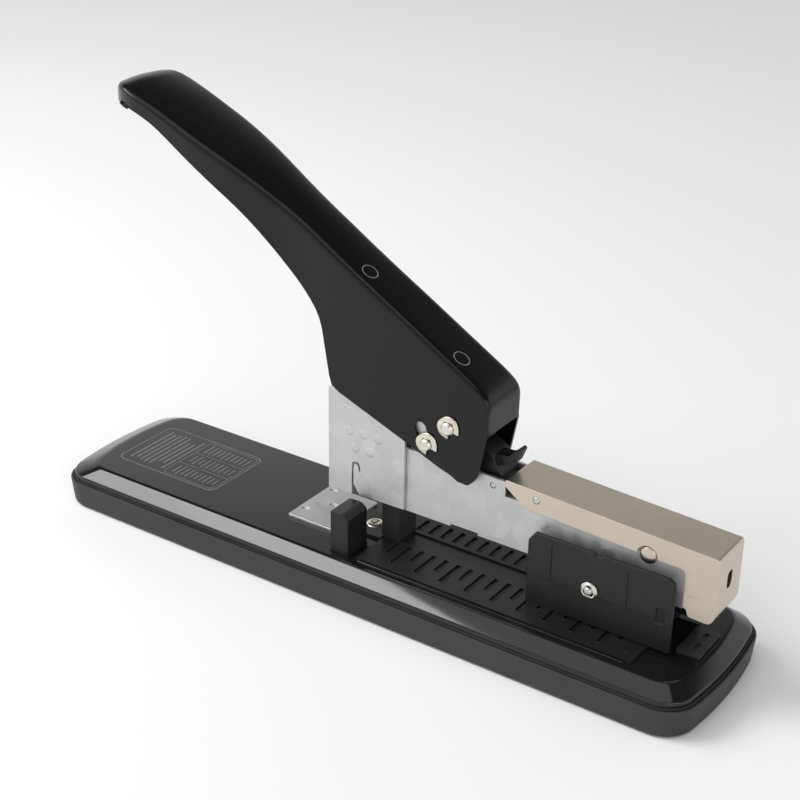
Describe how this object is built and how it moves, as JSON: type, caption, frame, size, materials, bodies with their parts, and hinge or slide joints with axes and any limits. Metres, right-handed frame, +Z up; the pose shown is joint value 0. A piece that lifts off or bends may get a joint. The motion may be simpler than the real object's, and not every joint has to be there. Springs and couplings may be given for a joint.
{
  "type": "heavy-duty stapler",
  "caption": "Long-handled heavy-duty block stapler: black lever handle, galvanised stand and arm, nickel head cover, sliding paper guide and slotted bed on a black base.",
  "frame": {"origin": "middle of the base's footprint, on the surface the feet stand on", "axes": "+X towards the nose where the staple comes out, +Y to the left seen from the grip, +Z up"},
  "size_m": [0.291, 0.071, 0.18],
  "materials": {
    "matte_black_plastic": "fine matte texture",
    "gloss_black_paint": "high gloss",
    "handle_black_paint": "satin sides, glossier top",
    "black_plastic": "satin",
    "rubber": "matte",
    "galvanised": "zinc spangle, semi-matt",
    "nickel_plate": "satin bright, warm",
    "nickel_hardware": "bright, slightly yellow",
    "bright_steel": "plain drawn steel",
    "blackened_steel": "black oxide, semi-matt"
  },
  "bodies": {
    "base": {"base_skirt": "matte_black_plastic", "base_shell": "gloss_black_paint", "rubber_foot_1": "rubber", "rubber_foot_2": "rubber", "rubber_foot_3": "rubber", "rubber_foot_4": "rubber", "slot_rail": "black_plastic", "foot_plate": "galvanised", "anvil": "blackened_steel", "deck_screw": "nickel_hardware", "lock_spring": "bright_steel", "support_bracket": "blackened_steel", "stand": "galvanised", "handle_axle": "nickel_hardware", "arm_pivot_pin": "bright_steel", "limit_pin_near": "nickel_hardware", "axle_clip_near": "nickel_hardware", "limit_clip_near": "nickel_hardware", "handle_spring_near": "bright_steel", "limit_pin_far": "nickel_hardware", "axle_clip_far": "nickel_hardware", "limit_clip_far": "nickel_hardware", "handle_spring_far": "bright_steel"},
    "handle": {"handle_shell": "handle_black_paint", "press_cam": "bright_steel"},
    "arm": {"arm_channel": "galvanised", "magazine_rail": "bright_steel", "pusher_rod": "bright_steel", "pusher_spring": "bright_steel", "blade_guide": "bright_steel", "release_pin": "bright_steel", "cover_rivet_near": "nickel_plate", "cover_pin_near": "bright_steel", "cover_rivet_far": "nickel_plate", "cover_pin_far": "bright_steel"},
    "driver": {"driver_lever": "bright_steel", "driver_blade": "bright_steel"},
    "pusher": {"pusher": "galvanised"},
    "cover": {"head_cover": "nickel_plate"},
    "release": {"release_lever": "black_plastic"},
    "guide": {"guide_slider": "black_plastic", "guide_plate_near": "black_plastic", "guide_pin_near": "bright_steel", "guide_clip_near": "nickel_hardware", "guide_plate_far": "black_plastic", "guide_pin_far": "bright_steel", "guide_clip_far": "nickel_hardware"},
    "button": {"lock_button": "black_plastic"}
  },
  "joints": [
    {"name": "handle_hinge", "type": "hinge", "parent": "base", "child": "handle", "pos_m": [0.0339, 0, 0.0774], "axis": [0, -1, 0], "range_deg": [0, 28], "stiffness_Nm_per_rad": 1.2, "springref_deg": -34.38},
    {"name": "arm_hinge", "type": "hinge", "parent": "base", "child": "arm", "pos_m": [-0.007, 0, 0.047], "axis": [0, 1, 0], "range_deg": [0, 5.5]},
    {"name": "driver_hinge", "type": "hinge", "parent": "arm", "child": "driver", "pos_m": [-0.007, 0, 0.047], "axis": [0, 1, 0], "range_deg": [0, 4]},
    {"name": "pusher_slide", "type": "slide", "parent": "arm", "child": "pusher", "axis": [1, 0, 0], "range_m": [-0.058, 0], "stiffness_N_per_m": 60, "springref_m": 0.05, "deforming": ["pusher_spring"]},
    {"name": "cover_hinge", "type": "hinge", "parent": "arm", "child": "cover", "pos_m": [0.0702, 0, 0.0589], "axis": [0, -1, 0], "range_deg": [0, 25]},
    {"name": "release_hinge", "type": "hinge", "parent": "arm", "child": "release", "pos_m": [0.0515, 0, 0.0585], "axis": [0, -1, 0], "range_deg": [0, 12], "stiffness_Nm_per_rad": 0.05, "springref_deg": -17.19},
    {"name": "guide_slide", "type": "slide", "parent": "base", "child": "guide", "axis": [1, 0, 0], "range_m": [-0.052, 0.004]},
    {"name": "button_push", "type": "slide", "parent": "base", "child": "button", "axis": [0, 0, -1], "range_m": [0, 0.003], "stiffness_N_per_m": 400, "springref_m": -0.002, "deforming": ["lock_spring"]}
  ],
  "couplings": [
    {"joint": "arm_hinge", "follows": "handle_hinge", "ratio": 0.19643},
    {"joint": "driver_hinge", "follows": "handle_hinge", "ratio": 0.14286}
  ]
}
